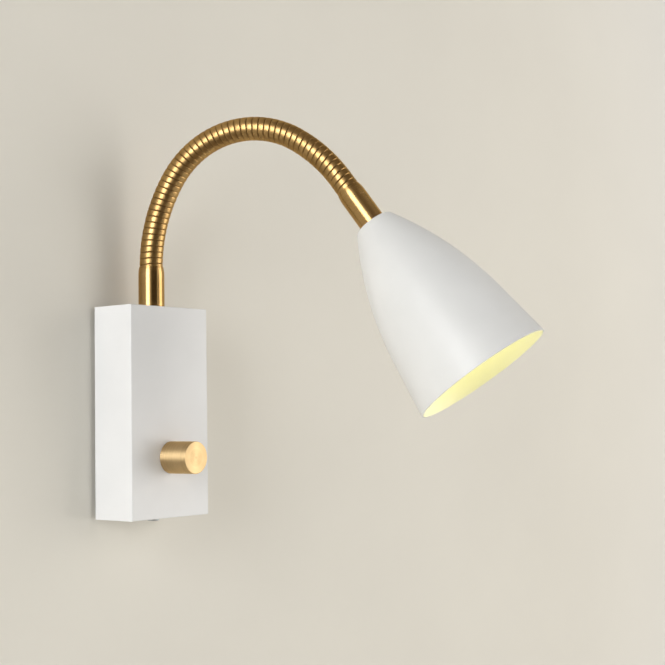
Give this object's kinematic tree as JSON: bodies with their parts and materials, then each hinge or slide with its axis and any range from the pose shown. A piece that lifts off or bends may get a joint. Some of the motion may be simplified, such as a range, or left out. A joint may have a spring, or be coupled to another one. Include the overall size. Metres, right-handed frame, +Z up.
{
  "type": "wall lamp",
  "caption": "Wall lamp: a folded steel box with a dimmer knob carries a ribbed brass gooseneck, bending over its whole length, with a bell shade round a screw bulb",
  "frame": {"origin": "On the wall, at the middle of the two slotted fixing holes behind the box", "axes": "+Z is up, +Y points into the wall and the room is at -Y, +X is to the right for someone who faces the wall"},
  "size_m": [0.1414, 0.2298, 0.2294],
  "materials": {
    "box_white": "matte powder coat",
    "shade_white": "matte powder coat",
    "brass": "satin polished and lacquered",
    "zinc_steel": "zinc plated",
    "nickel": "nickel plated",
    "contact_brass": "plain stamped",
    "block_plastic": "moulded",
    "dimmer_plastic": "moulded",
    "holder_plastic": "moulded",
    "grommet_rubber": "moulded",
    "lead_sheath": "extruded",
    "live_insulation": "extruded",
    "neutral_insulation": "extruded",
    "earth_insulation": "extruded",
    "opal_glass": "opal"
  },
  "bodies": {
    "base": {"wall_plate": "zinc_steel", "cable_grommet": "grommet_rubber", "terminal_block": "block_plastic", "terminal_screws": "zinc_steel", "earth_screw": "zinc_steel", "box_cover": "box_white", "cover_nut": "zinc_steel", "cover_screw": "zinc_steel", "dimmer_case": "dimmer_plastic", "dimmer_bush": "nickel", "dimmer_nut": "zinc_steel", "live_wire": "live_insulation", "switched_wire": "live_insulation", "neutral_wire": "neutral_insulation", "earth_wire": "earth_insulation", "lower_collar": "brass", "collar_nut": "zinc_steel", "collar_washer": "zinc_steel", "neck_hose_01": "brass", "neck_lead_01": "lead_sheath"},
    "knob": {"knob": "brass", "knob_screw": "zinc_steel", "dimmer_shaft": "nickel"},
    "link_02": {"neck_hose_02": "brass", "neck_lead_02": "lead_sheath"},
    "link_03": {"neck_hose_03": "brass", "neck_lead_03": "lead_sheath"},
    "link_04": {"neck_hose_04": "brass", "neck_lead_04": "lead_sheath"},
    "link_05": {"neck_hose_05": "brass", "neck_lead_05": "lead_sheath"},
    "link_06": {"neck_hose_06": "brass", "neck_lead_06": "lead_sheath"},
    "link_07": {"neck_hose_07": "brass", "neck_lead_07": "lead_sheath"},
    "link_08": {"neck_hose_08": "brass", "neck_lead_08": "lead_sheath"},
    "link_09": {"neck_hose_09": "brass", "neck_lead_09": "lead_sheath"},
    "link_10": {"neck_hose_10": "brass", "neck_lead_10": "lead_sheath"},
    "link_11": {"neck_hose_11": "brass", "neck_lead_11": "lead_sheath"},
    "link_12": {"neck_hose_12": "brass", "neck_lead_12": "lead_sheath"},
    "head": {"neck_hose_13": "brass", "neck_lead_13": "lead_sheath", "upper_collar": "brass", "shade": "shade_white", "shade_washer": "zinc_steel", "shade_nut": "zinc_steel", "lampholder_cap": "holder_plastic", "lampholder_body": "holder_plastic", "lampholder_shell": "contact_brass", "lampholder_contact": "contact_brass", "bulb_cap": "nickel", "bulb_globe": "opal_glass"}
  },
  "joints": [
    {"name": "knob_turn", "type": "hinge", "parent": "base", "child": "knob", "pos_m": [0, -0.0324, -0.0259], "axis": [0, 1, 0], "range_deg": [-240, 60]},
    {"name": "lower_bend", "type": "hinge", "parent": "base", "child": "link_02", "pos_m": [0.00038, -0.01795, 0.09799], "axis": [0.9272, 0.3746, 0], "range_deg": [-13, 4]},
    {"name": "neck_sway", "type": "hinge", "parent": "link_02", "child": "link_03", "pos_m": [0.00153, -0.02078, 0.11169], "axis": [-0.3587, 0.8878, 0.2884], "range_deg": [-12, 12]},
    {"name": "lower_bend_2", "type": "hinge", "parent": "link_03", "child": "link_04", "pos_m": [0.00341, -0.02543, 0.12479], "axis": [0.9272, 0.3746, 0], "range_deg": [-13, 4]},
    {"name": "lower_bend_3", "type": "hinge", "parent": "link_04", "child": "link_05", "pos_m": [0.00599, -0.03183, 0.13701], "axis": [0.9272, 0.3746, 0], "range_deg": [-13, 4]},
    {"name": "neck_sway_2", "type": "hinge", "parent": "link_05", "child": "link_06", "pos_m": [0.0095, -0.04053, 0.1474], "axis": [-0.2435, 0.6028, 0.7598], "range_deg": [-12, 12]},
    {"name": "lower_bend_4", "type": "hinge", "parent": "link_06", "child": "link_07", "pos_m": [0.0139, -0.05139, 0.15506], "axis": [0.9272, 0.3746, 0], "range_deg": [-13, 4]},
    {"name": "upper_bend_4", "type": "hinge", "parent": "link_07", "child": "link_08", "pos_m": [0.01887, -0.06371, 0.15949], "axis": [0.9272, 0.3746, 0], "range_deg": [-13, 4]},
    {"name": "neck_sway_3", "type": "hinge", "parent": "link_08", "child": "link_09", "pos_m": [0.02411, -0.07667, 0.16038], "axis": [0.0244, -0.0604, 0.9979], "range_deg": [-12, 12]},
    {"name": "upper_bend_3", "type": "hinge", "parent": "link_09", "child": "link_10", "pos_m": [0.02926, -0.08941, 0.15768], "axis": [0.9272, 0.3746, 0], "range_deg": [-13, 4]},
    {"name": "upper_bend_2", "type": "hinge", "parent": "link_10", "child": "link_11", "pos_m": [0.03398, -0.1011, 0.15157], "axis": [0.9272, 0.3746, 0], "range_deg": [-13, 4]},
    {"name": "neck_sway_4", "type": "hinge", "parent": "link_11", "child": "link_12", "pos_m": [0.03816, -0.11145, 0.14308], "axis": [0.2492, -0.6168, 0.7466], "range_deg": [-12, 12]},
    {"name": "upper_bend", "type": "hinge", "parent": "link_12", "child": "head", "pos_m": [0.0418, -0.12046, 0.13296], "axis": [0.9272, 0.3746, 0], "range_deg": [-13, 4]}
  ],
  "couplings": [
    {"joint": "lower_bend_2", "follows": "lower_bend", "ratio": 1},
    {"joint": "lower_bend_3", "follows": "lower_bend", "ratio": 1},
    {"joint": "neck_sway_2", "follows": "neck_sway", "ratio": 1},
    {"joint": "lower_bend_4", "follows": "lower_bend", "ratio": 1},
    {"joint": "upper_bend_4", "follows": "upper_bend", "ratio": 1},
    {"joint": "neck_sway_3", "follows": "neck_sway", "ratio": 1},
    {"joint": "upper_bend_3", "follows": "upper_bend", "ratio": 1},
    {"joint": "upper_bend_2", "follows": "upper_bend", "ratio": 1},
    {"joint": "neck_sway_4", "follows": "neck_sway", "ratio": 1}
  ]
}
